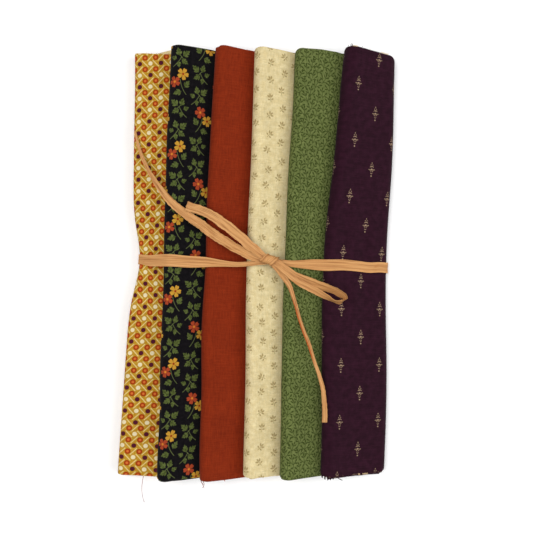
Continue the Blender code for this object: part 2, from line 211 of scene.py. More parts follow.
def strip_mesh(name, centres, across, widths, seed, material, closed=False, crease=CREASE,
               burnt=None):
    """A thin creased strip along its centres, all in millimetres, closed at its ends.

    burnt gives how far one side of it is folded over to its darker back, from 0 to 1 along it.
    """
    count = len(centres)
    if closed:
        along = unit(np.roll(centres, -1, 0) - np.roll(centres, 1, 0))
    else:
        along = unit(np.gradient(centres, axis=0))
    across = unit(across - along * (across * along).sum(1, keepdims=True))
    face = np.cross(along, across)
    travelled = run_along(centres)
    share = np.linspace(-1, 1, ACROSS_STEPS)
    far, aside = np.meshgrid(travelled, share, indexing="ij")
    if closed:
        far = np.sin(far / far.max() * 2 * math.pi) * JOINED_WANDER

    def zigzag(phase):
        return np.abs(phase % 2 - 1) * 2 - 1

    # Large and small creases, some sharp and some soft, then the crinkles and the curling edges
    wide = widths[:, None] / 2
    ridges = zigzag(aside * 1.4 + 0.6 * waves(seed, far * 0.14, aside * 0.7) + 0.3)
    small = zigzag(aside * wide * 1.5 + 0.9 * waves(seed + 1, far * 0.22, aside * 1.2))
    sharp = np.clip(0.65 + 0.5 * waves(seed + 7, far * 0.18, aside * 1.5), 0.1, 1.0)
    crinkle = waves(seed + 2, far * 1.1, aside * 3.0) * 0.14
    depth = np.minimum(1.0, 2 * wide / FULL_CREASE)
    lift = crease * depth * (ridges * (0.8 + 0.4 * waves(seed + 3, far * 0.10))
                             + 0.35 * small + crinkle)
    curl = np.tanh(waves(seed + 4, far * 0.08, np.sign(aside) * 2.0))
    lift = lift + CURL * depth * np.abs(aside) ** 6 * curl
    edge = 1 + (0.06 * waves(seed + 5, far * 0.35)
                + 0.04 * waves(seed + 6, far * 1.3)) * np.sign(aside)
    skin = SKIN / 2 * (SKIN_EDGE + (1 - SKIN_EDGE) * (1 - aside ** 4))
    middle = (centres[:, None] + across[:, None] * (aside * wide * edge)[..., None]
              + face[:, None] * lift[..., None])
    upper = middle + face[:, None] * skin[..., None]
    lower = middle - face[:, None] * skin[..., None]
    rings = np.concatenate((upper, lower[:, ::-1]), axis=1) * MM
    around = rings.shape[1]
    # Painted shade: a share that is low in the crease valleys and at the curled edges and high on
    # the crests, which the material turns into darker valleys and lighter crests
    high = np.clip(0.5 + (0.38 * ridges + 0.24 * small) * sharp - 0.25 * np.abs(aside) ** 5, 0, 1)
    folded = 0 * aside if burnt is None else burnt[:, None] * np.clip(0.15 - aside * 2.2, 0, 1)
    shares = {"painted_crease_shade": np.concatenate((high, 1 - high[:, ::-1]), 1),
              "burnt": np.concatenate((folded, folded), 1)}
    faces, corners = [], []
    runs = [(i, (i + 1) % count) for i in range(count if closed else count - 1)]
    ring_share = np.concatenate((share, share[::-1]))
    tops = np.concatenate((travelled, [travelled[-1] + ROUTE_STEP]))
    for i, i2 in runs:
        for j in range(around):
            j2 = (j + 1) % around
            faces.append((i * around + j, i * around + j2, i2 * around + j2, i2 * around + j))
            for a, b in ((i, j), (i, j2), (i + 1, j2), (i + 1, j)):
                corners.append((tops[a] * MM + seed, ring_share[b] * widths.mean() / 2 * MM))
    if not closed:
        faces += [tuple(range(around))[::-1],
                  tuple((count - 1) * around + j for j in range(around))]
        corners += [(seed, 0)] * (2 * around)
    return mesh_piece(name, rings.reshape(-1, 3), faces, material, {"Strand": corners}, shares)


def strand_route(turns):
    """Centres, headings of the width and widths along a smooth route through its turns."""
    table = np.array(turns, float)
    travelled = run_along(table[:, :3])
    at = np.linspace(0, travelled[-1], round(travelled[-1] / ROUTE_STEP))
    rows = np.stack([smooth(travelled, table[:, k], at) for k in range(table.shape[1])], axis=1)
    heading, tilt = np.radians(rows[:, 4]), np.radians(rows[:, 5])
    across = np.stack((np.cos(heading) * np.cos(tilt), np.sin(heading) * np.cos(tilt),
                       np.sin(tilt)), 1)
    return rows[:, :3], across, rows[:, 3]


def dye(red, green, blue):
    """A colour as it looks on a screen, 0 to 255, as the shader needs it."""
    return tuple((c / 255) ** 2.2 for c in (red, green, blue)) + (1.0,)


def add_node(tree, kind, inputs=(), **settings):
    """A shader node with its settings, and its inputs set or joined by name or number."""
    node = tree.nodes.new(kind)
    for key, value in settings.items():
        setattr(node, key, value)
    for key, value in dict(inputs).items():
        if isinstance(value, bpy.types.NodeSocket):
            tree.links.new(value, node.inputs[key])
        else:
            node.inputs[key].default_value = value
    return node


def blend_colours(tree, share, first, second):
    """A colour that goes from the first to the second with a share."""
    node = add_node(tree, "ShaderNodeMix", data_type="RGBA")
    for slot, value in zip((node.inputs[0], node.inputs[6], node.inputs[7]),
                           (share, first, second)):
        if isinstance(value, bpy.types.NodeSocket):
            tree.links.new(value, slot)
        else:
            slot.default_value = value
    return node.outputs[2]


def streaks(tree, map_socket, stretch, detail, offset=0.0):
    """A noise stretched along or across a UV map, from 0 to 1."""
    placed = add_node(tree, "ShaderNodeMapping", {
        "Vector": map_socket, "Location": (offset, offset, 0), "Scale": stretch})
    noise = add_node(tree, "ShaderNodeTexNoise", {
        "Vector": placed.outputs[0], "Scale": 1.0, "Detail": detail})
    return noise.outputs["Fac"]


def spread(tree, value, low, high):
    """A value between low and high drawn out to between 0 and 1."""
    node = add_node(tree, "ShaderNodeMapRange", {
        "Value": value, "From Min": low, "From Max": high}, interpolation_type="SMOOTHSTEP")
    return node.outputs["Result"]


def take_place(piece, node_name):
    """The piece stands in for a solid of the CAD, on the body that holds them all."""
    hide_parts(node_name)
    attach(piece, "root")


raffia, tree, shader = new_material("raffia", 0.62, 0.25)
strand_map = add_node(tree, "ShaderNodeUVMap", uv_map="Strand").outputs[0]
fibres = streaks(tree, strand_map, (70, 4200, 1), 2.0)
bands = streaks(tree, strand_map, (22, 1500, 1), 2.0, 3.0)
crinkles = streaks(tree, strand_map, (900, 1500, 1), 2.0, 5.0)
blotches = streaks(tree, strand_map, (90, 260, 1), 2.0, 7.0)
painted_crease_shade = add_node(tree, "ShaderNodeAttribute", attribute_name="painted_crease_shade").outputs["Fac"]
folded = add_node(tree, "ShaderNodeAttribute", attribute_name="burnt").outputs["Fac"]
# Painted shade: the strip is drawn darker in its crease valleys and at its edges, and lighter on
# its crests
tan = blend_colours(tree, painted_crease_shade, dye(137, 84, 41), dye(207, 150, 93))
tan = blend_colours(tree, spread(tree, bands, 0.35, 0.7), tan, dye(209, 154, 97))
tan = blend_colours(tree, spread(tree, fibres, 0.55, 0.8), tan, dye(220, 172, 116))
tan = blend_colours(tree, spread(tree, fibres, 0.42, 0.2), tan, dye(147, 89, 43))
tan = blend_colours(tree, spread(tree, blotches, 0.62, 0.85), tan, dye(171, 106, 50))
tan = blend_colours(tree, folded, tan, dye(166, 86, 34))
tree.links.new(tan, shader.inputs["Base Color"])
relief = add_node(tree, "ShaderNodeMath", {0: fibres, 1: bands}, operation="ADD").outputs[0]
relief = add_node(tree, "ShaderNodeMath", {0: relief, 1: crinkles}, operation="ADD").outputs[0]
raised = add_node(tree, "ShaderNodeBump", {
    "Height": relief, "Strength": 0.6, "Distance": 0.2 * MM})
tree.links.new(raised.outputs[0], shader.inputs["Normal"])

BURNT_FROM, BURNT_TO = 21.0, 61.0       # where the right tail is folded over, from its start
BURNT_EASE = 6.0
for node_name, turns, widest, seed in (("raffia_tail_left", TAIL_LEFT, 4.8 * MM, 3),
                                       ("raffia_tail_right", TAIL_RIGHT, 2.8 * MM, 4)):
    centres, across, widths = strand_route(turns)
    run = run_along(centres)
    burnt = None
    if turns is TAIL_RIGHT:
        burnt = np.clip(np.minimum(run - BURNT_FROM, BURNT_TO - run) / BURNT_EASE, 0, 1)
    tail = strip_mesh(node_name + "_strip", centres, across, widths, seed, raffia, burnt=burnt)
    take_place(tail, node_name)
    float(run[-1] * MM)

# Each roll is a fat quarter of quilting cotton, 18 by 22 inches, folded in half wrong sides
# together to half its width and wound flat, so that its free edge ends up underneath. The first
# roll lies flat on the table and each of the others leans on the one before.
FOLDED_LENGTH = 229.0
SECTION_AREA = 328.0        # width times thickness of one wound roll
LIP = 0.6                   # step at the free edge of a roll's outer turn, two cloths thick
GAP = 0.32                  # from each roll to the next
SEAT = 0.3                  # how far each roll is pressed flat where it rests
TIE_ROOM = 0.87             # height of the room for the strand under the rolls
TIE_ROOM_REACH = 9.0        # how far along the bundle that room fades out
TIE_ROOM_FLAT = 1.35        # keeps it at its full height across the strand's width
SQUEEZE = 0.15              # share of a roll's thickness lost under the strand
SQUEEZE_REACH = 26.0
PINCH_REACH = 20.0          # how far along the bundle the rolls' left sides are drawn in
CORNER_REACH = 22.0         # length over which a rounded corner draws the cloth back
MOST_LEAN = 60.0            # degrees
LEAN_TRIES = 30             # halvings of the lean until a roll just touches the one before
SECTION_STEP = 2.0          # from one worked out section to the next, along the bundle
CLOTH = 0.22                # thickness of one cloth
CLOTH_STEP = 0.265          # from one cloth to the next through the winding
TURNS = 8.4
REACH, RADIUS = 25.8, 4.7   # a usual section's flat length and half thickness
FREE_LEG = 0.25             # where the free edge lies, as a share of the flat underside
STATIONS = (-110, -57, 0, 57, 110)      # places along the bundle where a roll is measured
# A roll's top end, how much it is over the folded length, how much shorter its low side is at the
# top and the bottom, how far the strand draws its left side in, how far its core stands out of
# its ends, the radii of its left, top right and bottom right corners, how square its left side is
# (2 is round), and its left sides and its widths at the stations
Roll = namedtuple("Roll", "top longer slants pinch core corners edge lefts widths")
ROLLS = {
    "roll_mustard": Roll(112.1, 0.4, (0.0, -0.8), 5.0, -1.2, (1.2, 2.4, 2.2), 3.6,
                         (-72.7, -70.9, -69.9, -70.1, -71.5), (33.4, 32.4, 30.6, 31.6, 32.6)),
    "roll_floral": Roll(113.7, 1.2, (0.0, 0.3), 0.3, 0.9, (0.9, 2.4, 2.2), 2.0,
                        (-49.8, -50.1, -50.6, -50.6, -50.4), (35.0, 35.4, 36.0, 35.6, 35.2)),
    "roll_rust": Roll(114.7, 2.3, (0.0, 1.0), 0.3, -0.8, (0.8, 2.4, 2.2), 2.0,
                      (-27.2, -28.4, -28.8, -28.0, -26.9), (35.8, 35.6, 36.0, 35.0, 35.4)),
    "roll_cream": Roll(114.4, -1.1, (0.2, 0.0), 0.4, 0.7, (1.3, 2.4, 2.2), 2.0,
                       (-4.0, -5.0, -6.3, -5.8, -5.6), (33.9, 34.2, 34.8, 35.0, 34.8)),
    "roll_green": Roll(114.5, -0.9, (-0.9, 0.0), 0.3, -1.0, (1.8, 2.4, 2.2), 2.0,
                       (15.4, 14.5, 13.8, 14.8, 15.9), (35.2, 35.4, 34.9, 35.8, 36.2)),
    "roll_plum": Roll(117.4, 0.0, (2.2, 0.0), 0.5, 1.0, (1.6, 4.6, 3.4), 2.0,
                      (37.1, 36.1, 34.7, 38.2, 42.0), (38.8, 39.4, 38.2, 36.0, 31.9)),
}
Flat = namedtuple("Flat", "high low radius")


def fade(along, reach):
    """One at the strand, falling smoothly to nothing away from it."""
    return np.exp(-(along / reach) ** 2)


def floor_at(along):
    """Height of the rolls' underside: the table, raised where the strand passes below."""
    return TIE_ROOM * np.minimum(1.0, TIE_ROOM_FLAT * fade(along, TIE_ROOM_REACH))


def apart(one, other):
    """Shortest distance between two flat sections' middle lines."""
    def to_line(point, line):
        run = line.low - line.high
        t = min(max((point - line.high).dot(run) / run.length_squared, 0.0), 1.0)
        return (point - line.high - run * t).length
    return min(to_line(one.high, other), to_line(one.low, other),
               to_line(other.high, one), to_line(other.low, one))


def flats_at(along):
    """The six sections at one place along the bundle, each leant on the one before it."""
    placed = []
    for roll in ROLLS.values():
        pinch = roll.pinch * fade(along, PINCH_REACH)
        left = float(smooth(STATIONS, roll.lefts, along)) + pinch
        width = float(smooth(STATIONS, roll.widths, along))
        radius = SECTION_AREA / width * (1 - SQUEEZE * fade(along, SQUEEZE_REACH)) / 2
        reach = width - pinch - 2 * radius
        height = radius - LIP - SEAT

        def leant(lean):
            high = Vector((left + radius, height + reach * math.sin(lean)))
            return Flat(high, Vector((left + radius + reach * math.cos(lean), height)), radius)

        least, most = 0.0, math.radians(MOST_LEAN) if placed else 0.0
        for _ in range(LEAN_TRIES if placed else 0):
            lean = (least + most) / 2
            close = apart(leant(lean), placed[-1]) - radius - placed[-1].radius < GAP
            least, most = (lean, most) if close else (least, lean)
        placed.append(leant(most))
    return placed


section_places = np.arange(-120.0, 120.0 + SECTION_STEP, SECTION_STEP)
section_rows = [flats_at(place) for place in section_places]


def winding_path():
    """Samples along a winding from its free edge inwards.

    The columns are the turn, the place along the flat and the half turns round, and then how many
    flats and how much turning, scaled by the size of the turn, have been passed so far.
    """
    samples = []
    flats = turning = 0.0
    for turn in range(math.ceil(TURNS)):
        fine = turn == 0
        scale = math.pi * (1 - (turn + 0.5) / TURNS)
        # Underneath to the left side, round it, over the top, round the right side and underneath
        legs = (
            (5 if fine else 2, FREE_LEG, 0.0, 1.5, 1.5),
            (12 if fine else 6, 0.0, 0.0, 1.5, 0.5),
            (26 if fine else 3, 0.0, 1.0, 0.5, 0.5),
            (10 if fine else 6, 1.0, 1.0, 0.5, -0.5),
            (8 if fine else 3, 1.0, FREE_LEG, -0.5, -0.5),
        )
        around = 2 * (REACH + scale * RADIUS)
        done = 0.0
        for steps, leg_a, leg_b, half_a, half_b in legs:
            leg_run = abs(leg_b - leg_a)
            half_run = abs(half_b - half_a) * scale
            run = leg_run * REACH + half_run * RADIUS
            for i in range(steps):
                share = i / steps
                place = turn + (done + run * share) / around
                if place < TURNS:
                    samples.append((place, leg_a + (leg_b - leg_a) * share,
                                    half_a + (half_b - half_a) * share,
                                    flats + leg_run * share, turning + half_run * share))
            done += run
            flats += leg_run
            turning += half_run
    return np.array(samples)


# How far a print runs from its place across the roll, as (place along, millimetres), because three
# of the cloths were wound a little askew
STRAY = {"roll_mustard": ((-110, 0.6), (-60, 0.5), (-20, 0.8), (15, 0.4), (60, 0.2), (110, 0.6)),
         "roll_floral": ((-110, -0.2), (-40, 0.4), (-15, 0.8), (15, 1.3), (50, 0.3), (110, 0.0)),
         "roll_plum": ((-110, -0.3), (-68, 0.9), (-20, 2.2), (20, 2.4), (50, 1.1), (110, -1.6))}
# How closely the mustard print is gathered across its roll, about one line along the cloth: it is
# closer where the strand draws the roll in
GATHER = {"roll_mustard": ((-110, 0.90), (-60, 0.94), (-20, 1.03), (20, 1.05), (60, 1.01),
                           (110, 1.0))}
GATHER_FROM = 8.35
PATH = winding_path()
OUTER_TURN = int((PATH[:, 0] <= 1.0).sum())
TOP_TURNING = math.pi * (1 - 0.5 / TURNS)
TOP_START = FREE_LEG * REACH + TOP_TURNING * RADIUS   # length to where the top begins


def crowded(count):
    """Shares of a length from 0 to 1, closer together at the middle and at both ends."""
    even = np.linspace(-1, 1, count)
    near_middle = (even + even ** 3) / 2
    return 0.5 + (np.sin(near_middle * math.pi / 2) + near_middle) / 4


OUTER_ROWS, FOLD_ROWS, INNER_ROWS = 70, 4, 14     # samples along each cloth and round the fold
# How far the turns stand back from the roll's two ends, at shares of the way from its core
# outwards; the first two shares are the core, which each roll has its own value for
SET_BACK_AT = (0.0, 0.42, 0.60, 0.88, 0.95, 1.0)
SET_BACK = (0.15, 0.05, 0.15, 0.45)
LEAST_OUT = 0.02            # from the winding's middle line to its innermost cloth
LAYER_LIFT = 0.12           # from one layer to the next where they are pressed on the table


def lay_out(roll, top, bottom, fold_at_top, seed, raw_step):
    """The doubled cloth along the roll: outer cloth from its raw edge, fold, and inner cloth.

    Gives each sample's place along the bundle and depth in the cloth, and the fold's place.
    """
    side = 1.0 if fold_at_top else -1.0
    turn = PATH[:, 0:1]
    travelled = PATH[:, 3:4] * REACH + PATH[:, 4:5] * RADIUS
    back = np.interp(1 - turn / TURNS, SET_BACK_AT, (-roll.core, -roll.core) + SET_BACK)
    settled = np.clip(turn, 0, 1)
    uneven = 0.30 * waves(seed, travelled * 0.06) + 0.12 * waves(seed + 1, travelled * 0.22)
    fold_end = (top if fold_at_top else bottom) - side * (back + uneven * settled)
    uneven = 0.45 * waves(seed + 2, travelled * 0.07) + 0.15 * waves(seed + 3, travelled * 0.3)
    raw_end = (bottom if fold_at_top else top) + side * (back + uneven * settled)
    inner_raw = raw_end - side * 0.3 * waves(seed + 4, travelled * 0.05)
    if raw_step is not None:
        inner_raw = inner_raw - side * raw_step(travelled)
    outer, inner = crowded(OUTER_ROWS)[None], crowded(INNER_ROWS)[None, ::-1]
    bend = np.linspace(0, math.pi, FOLD_ROWS + 2)[None, 1:-1]
    turn_back = fold_end - side * CLOTH_STEP / 2
    along = np.concatenate((raw_end + (turn_back - raw_end) * outer,
                            turn_back + side * CLOTH_STEP / 2 * np.sin(bend),
                            inner_raw + (turn_back - inner_raw) * inner), axis=1)
    depth = np.concatenate((0 * outer, (1 - np.cos(bend)) / 2, 1 + 0 * inner), axis=1)
    return along, (depth + 0 * turn) * CLOTH_STEP + CLOTH_STEP / 2, fold_end


def wind_roll(name, fold_at_top, seed, raw_step=None):
    """The doubled cloth wound up: its mid surface, and each sample's place on the cloth."""
    roll = ROLLS[name]
    number = list(ROLLS).index(name)
    top, bottom = roll.top, roll.top - FOLDED_LENGTH - roll.longer
    along, depth, fold_end = lay_out(roll, top, bottom, fold_at_top, seed, raw_step)
    turn, leg, half = PATH[:, 0:1], PATH[:, 1:2], PATH[:, 2:3]

    def column_at(pick):
        return np.interp(along, section_places, [pick(row[number]) for row in section_rows])

    high_x, high_z = column_at(lambda f: f.high.x), column_at(lambda f: f.high.y)
    low_x, low_z = column_at(lambda f: f.low.x), column_at(lambda f: f.low.y)
    radius = column_at(lambda f: f.radius)
    run_x, run_z = low_x - high_x, low_z - high_z
    reach = np.hypot(run_x, run_z)
    run_x, run_z = run_x / reach, run_z / reach
    out = np.maximum(radius * (1 - turn / TURNS) - depth * radius / RADIUS, LEAST_OUT)
    # A side is round at an edge of 2, and squarer above that
    edge = np.where(half > 0.5, roll.edge, 2.0)
    cosine, sine = np.cos(math.pi * half), np.sin(math.pi * half)
    cosine = np.sign(cosine) * np.abs(cosine) ** (2 / edge)
    sine = np.sign(sine) * np.abs(sine) ** (2 / edge)
    x = high_x + leg * reach * run_x + (run_x * cosine - run_z * sine) * out
    z = high_z + leg * reach * run_z + (run_z * cosine + run_x * sine) * out
    layer = 2 * np.floor(turn + 1e-6) + depth / CLOTH_STEP - 0.5
    z = np.maximum(z, floor_at(along) + CLOTH / 2 + LAYER_LIFT * layer)
    x, z = drape(seed, x, along, z, radius)
    y = along + corner_shift(roll, x, high_x - radius, low_x + radius, along, top, bottom)
    cloth_u = print_across(x, z, reach) + roll.pinch * fade(along, PINCH_REACH) / run_x
    if name in STRAY:
        cloth_u = cloth_u - smooth(*zip(*STRAY[name]), along)
    if name in GATHER:
        cloth_u = GATHER_FROM + (cloth_u - GATHER_FROM) * smooth(*zip(*GATHER[name]), along)
    cloth_v = np.where(depth > CLOTH_STEP, 2 * fold_end - along, along)
    return np.stack((x, y, z), -1), np.stack((cloth_u, cloth_v), -1) * MM


def corner_shift(roll, x, left, right, along, top, bottom):
    """How far the rounded corners and the slanting ends move the cloth along the roll."""
    def corner(distance, radius):
        inside = np.maximum(radius - np.maximum(distance, 0), 0)
        return radius - np.sqrt(np.maximum(radius ** 2 - inside ** 2, 0))

    over = np.clip((x - left) / (right - left), 0, 1)
    left_corner, top_corner, bottom_corner = roll.corners
    from_left = corner(x - left, left_corner)
    top_drop = np.maximum(from_left, corner(right - x, top_corner)) + roll.slants[0] * over
    bottom_drop = np.maximum(from_left, corner(right - x, bottom_corner)) + roll.slants[1] * over
    return (bottom_drop * np.maximum(0, 1 - (along - bottom) / CORNER_REACH)
            - top_drop * np.maximum(0, 1 - (top - along) / CORNER_REACH))


def print_across(x, z, reach):
    """Length of the winding on the cloth, from where the roll's upper side begins at its left."""
    leg, flats, turning = PATH[:, 1], PATH[:, 3], PATH[:, 4]
    steps = np.hypot(np.diff(x, axis=0), np.diff(z, axis=0))
    wound = np.concatenate((np.zeros((1, x.shape[1])), np.cumsum(steps, axis=0)))
    on_top = np.argmin(abs(turning - TOP_TURNING) + abs(leg - 0.5))
    return wound - wound[on_top] + (flats[on_top] - FREE_LEG) * reach[on_top]


PLEAT_REACH = 30.0


def drape(seed, x, y, z, radius):
    """The soft unevenness of the wound cloth, the same through all its layers."""
    # Broad swells, fine pleats near the strand, and a slow sway, all of them less near the table
    near = fade(y, PLEAT_REACH)
    swell = (0.22 * waves(seed + 10, x * 0.06, y * 0.035)
             + 0.12 * waves(seed + 11, x * 0.16, y * 0.07))
    pull = 0.16 * near * waves(seed + 12, x * 0.55, y * 0.02, low=0.8, high=1.3)
    lift = np.clip(z / (2 * radius), 0, 1)
    sway = 0.25 * waves(seed + 13, y * 0.05)
    return x + sway * lift, z + (swell + pull) * lift


def sheet_mesh(name, middle, cloth_map, material):
    """A closed cloth round a mid surface, with maps for its print and for its baked picture."""
    rows, columns = middle.shape[:2]
    normal = unit(np.cross(np.gradient(middle, axis=0), np.gradient(middle, axis=1)))
    probe = OUTER_TURN // 2, OUTER_ROWS // 2
    if normal[probe][2] < 0:
        normal = -normal
    front = (middle + normal * CLOTH / 2) * MM
    behind = (middle - normal * CLOTH / 2) * MM
    corners = np.concatenate((front.reshape(-1, 3), behind.reshape(-1, 3)))
    index = np.arange(rows * columns).reshape(rows, columns)
    quads = np.stack((index[:-1, :-1], index[1:, :-1], index[1:, 1:], index[:-1, 1:]),
                     -1).reshape(-1, 4)
    a, b, c = front.reshape(-1, 3)[quads[len(quads) // 2, :3]]
    if np.dot(np.cross(b - a, c - b), normal.reshape(-1, 3)[quads[len(quads) // 2, 0]]) < 0:
        quads = quads[:, ::-1]
    size = rows * columns
    rim = np.concatenate((index[0, :], index[1:, -1], index[-1, -2::-1], index[-2:0:-1, 0]))
    edge = np.stack((rim, np.roll(rim, -1), np.roll(rim, -1) + size, rim + size), -1)
    # Faces that share an edge run along it opposite ways, so that all of them point outwards
    first = quads[0].tolist()
    if (int(rim[0]), int(rim[1])) in zip(first, first[1:] + first[:1]):
        edge = edge[:, ::-1]
    faces = np.concatenate((quads, quads[:, ::-1] + size, edge))
    cloth = np.concatenate((cloth_map.reshape(-1, 2),) * 2)[faces.reshape(-1)]
    bake = bake_map(rows, columns, quads, edge, size)
    return mesh_piece(name, corners, faces.tolist(), material, {"Cloth": cloth, "OFBake": bake},
                      {"wrong_side": np.repeat((0.0, 1.0), size)}, math.radians(50))


BAKE_SHOWN, BAKE_INNER = (0.38, 0.99), (0.21, 0.35)     # heights in the baked picture
BAKE_WRONG, BAKE_RIM, BAKE_RIM_STEP = (0.04, 0.18), (0.005, 0.02), 0.006


def bake_map(rows, columns, quads, edge, size):
    """The map for a baked picture. Most of it is for the outer turn, as the rest hardly shows."""
    def place(quad, heights, last_row=rows - 1, last_column=columns - 1):
        row, column = np.divmod(quad % size, columns)
        up = heights[0] + (heights[1] - heights[0]) * row / last_row
        return np.stack((0.01 + 0.98 * column / last_column, up), -1)

    row, column = np.divmod(quads.min(1), columns)
    shown = (row < OUTER_TURN) & (column < OUTER_ROWS - 1)
    front = place(quads, BAKE_INNER)
    front[shown] = place(quads, BAKE_SHOWN, OUTER_TURN, OUTER_ROWS - 1)[shown]
    rims = place(edge, BAKE_RIM)
    rims[..., 1] += np.where(edge >= size, BAKE_RIM_STEP, 0)
    return np.concatenate((front, place(quads[:, ::-1], BAKE_WRONG), rims)).reshape(-1, 2)


class Ink:
    """A value that changes over the cloth, with arithmetic that adds the shader nodes for it."""

    def __init__(self, tree, socket):
        self.tree = tree
        self.socket = socket

    def do(self, operation, *others):
        node = self.tree.nodes.new("ShaderNodeMath")
        node.operation = operation
        for slot, value in zip(node.inputs, (self,) + others):
            if isinstance(value, Ink):
                self.tree.links.new(value.socket, slot)
            else:
                slot.default_value = value
        return Ink(self.tree, node.outputs[0])

    def __add__(self, other):
        return self.do("ADD", other)

    def __sub__(self, other):
        return self.do("SUBTRACT", other)

    def __mul__(self, other):
        return self.do("MULTIPLY", other)

    def __truediv__(self, other):
        return self.do("DIVIDE", other)

    def __abs__(self):
        return self.do("ABSOLUTE")

    def inside(self, edge, soft=0.12):
        """One where the value is under an edge, falling off softly past it."""
        return Ink(self.tree, spread(self.tree, self.socket, edge + soft / 2, edge - soft / 2))

    def cell(self, pitch):
        """The distance from the middle of a repeat."""
        return self.do("FLOORED_MODULO", pitch) - pitch / 2

    def cell_number(self, pitch):
        return (self / pitch).do("FLOOR")


def largest(first, *others):
    """The largest of several values at each place."""
    for other in others:
        first = first.do("MAXIMUM", other)
    return first


def length_of(x, y):
    return (x * x + y * y).do("SQRT")


def turned(x, y, angle):
    """The same place seen from axes turned by an angle, which may be a number or an ink."""
    if isinstance(angle, Ink):
        cosine, sine = angle.do("COSINE"), angle.do("SINE")
    else:
        cosine, sine = math.cos(angle), math.sin(angle)
    return x * cosine + y * sine, y * cosine - x * sine


# Woven cotton: what all six cloths share. The group gives the fine uneven shade of the threads and
# the height of the weave, from the cloth's own map.
THREAD = 0.42               # from one thread to the next, in millimetres
weave = bpy.data.node_groups.new("woven_cotton", "ShaderNodeTree")
weave.interface.new_socket("Cloth", in_out="INPUT", socket_type="NodeSocketVector")
weave.interface.new_socket("Shade", in_out="OUTPUT", socket_type="NodeSocketFloat")
weave.interface.new_socket("Height", in_out="OUTPUT", socket_type="NodeSocketFloat")
enter = weave.nodes.new("NodeGroupInput")
leave = weave.nodes.new("NodeGroupOutput")
warp_slubs = Ink(weave, streaks(weave, enter.outputs[0], (1500, 240, 1), 2.0))
weft_slubs = Ink(weave, streaks(weave, enter.outputs[0], (240, 1500, 1), 2.0, 5.0))
grain = Ink(weave, streaks(weave, enter.outputs[0], (1900, 1900, 1), 1.0, 2.0))
cloudy = Ink(weave, streaks(weave, enter.outputs[0], (70, 70, 1), 3.0, 9.0))
split = add_node(weave, "ShaderNodeSeparateXYZ", {0: enter.outputs[0]})
over = (Ink(weave, split.outputs[0]) * (math.pi / (THREAD * MM))).do("SINE")
under = (Ink(weave, split.outputs[1]) * (math.pi / (THREAD * MM))).do("SINE")
crossing = over * under
shade = (warp_slubs + weft_slubs + grain + cloudy) * 0.3 + 0.39 + crossing * 0.05
weave.links.new(shade.socket, leave.inputs["Shade"])
weave.links.new((crossing * 0.5 + warp_slubs + weft_slubs).socket, leave.inputs["Height"])


class Print:
    """A print on a cloth: its colour so far, and the places on the cloth in millimetres."""

    def __init__(self, tree, cloth_map):
        split = add_node(tree, "ShaderNodeSeparateXYZ", {0: cloth_map})
        self.u, self.v = (Ink(tree, split.outputs[k]) / MM for k in range(2))
        self.tree, self.cloth_map, self.colour = tree, cloth_map, None

    def mottle(self, stretch_u, stretch_v, detail, offset, low=0.3, high=0.75):
        """An uneven shade between 0 and 1, drawn out along the cloth or across it."""
        noise = streaks(self.tree, self.cloth_map, (stretch_u, stretch_v, 1), detail, offset)
        return Ink(self.tree, spread(self.tree, noise, low, high))

    def mix(self, share, first, second):
        return blend_colours(self.tree, share.socket, first, second)

    def paint(self, mask, hue):
        self.colour = self.mix(mask, self.colour, hue)


def cloth_material(name, draw_print, wrong_share, wrong_colour):
    """A printed cotton. draw_print paints its right side, which shows through on the other."""
    material, tree, shader = new_material(name, 0.9, 0.12)
    cloth_map = add_node(tree, "ShaderNodeUVMap", uv_map="Cloth").outputs[0]
    cloth = Print(tree, cloth_map)
    draw_print(cloth)
    wrong = add_node(tree, "ShaderNodeAttribute", attribute_name="wrong_side").outputs["Fac"]
    cloth.paint(Ink(tree, wrong) * wrong_share, wrong_colour)
    threads = tree.nodes.new("ShaderNodeGroup")
    threads.node_tree = weave
    tree.links.new(cloth_map, threads.inputs["Cloth"])
    shaded = add_node(tree, "ShaderNodeVectorMath", {0: cloth.colour, 1: threads.outputs["Shade"]},
                      operation="MULTIPLY")
    tree.links.new(shaded.outputs[0], shader.inputs["Base Color"])
    raised = add_node(tree, "ShaderNodeBump", {
        "Height": threads.outputs["Height"], "Strength": 0.35, "Distance": 0.12 * MM})
    tree.links.new(raised.outputs[0], shader.inputs["Normal"])
    shader.inputs["Sheen Weight"].default_value = 0.03
    shader.inputs["Sheen Roughness"].default_value = 0.5
    return material


Thread = namedtuple("Thread", "x out drift bow pale at_top", defaults=(0.0, 0.0, 0.0, False))
THREAD_RADII = (0.16, 0.09)  # at its root and at its tip
THREAD_STEPS, THREAD_SIDES = 10, 6
THREAD_ROOT = 0.5            # how far it starts inside the cloth's edge
THREAD_LOW = 0.1             # how far it starts below the cloth's middle
THREAD_SAG = 0.045           # its fall, for its length squared
THREAD_REST = 0.3            # height of one that lies on the table
UPPER_SIDE = slice(11, 48)   # samples of the winding that lie along a roll's upper side
FUZZ = 22                    # very short ends that stand out along the cut edge
FUZZ_OUT, FUZZ_DRIFT, FUZZ_PALE = (0.15, 0.6), (-0.3, 0.3), (0, 0.5)


def thread_tube(root, side, thread):
    """Corners of one loose thread, in millimetres, in rings from its root out along the roll."""
    t = np.linspace(0, 1, THREAD_STEPS)
    x = root[0] + thread.drift * t ** 1.5 + thread.bow * np.sin(math.pi * t)
    y = root[1] + side * ((thread.out + THREAD_ROOT) * t - THREAD_ROOT)
    z = root[2] - THREAD_LOW - min(root[2] - THREAD_REST, THREAD_SAG * thread.out ** 2) * t ** 2
    centres = np.stack((x, y, z), 1)
    along = unit(np.gradient(centres, axis=0))
    first = unit(np.cross(along, (1.0, 0.0, 0.0)))
    second = np.cross(along, first)
    angles = np.linspace(0, 2 * math.pi, THREAD_SIDES, endpoint=False)
    radii = np.interp(t, (0, 1), THREAD_RADII)[:, None, None]
    return centres[:, None] + radii * (np.cos(angles)[:, None] * first[:, None]
                                       + np.sin(angles)[:, None] * second[:, None])


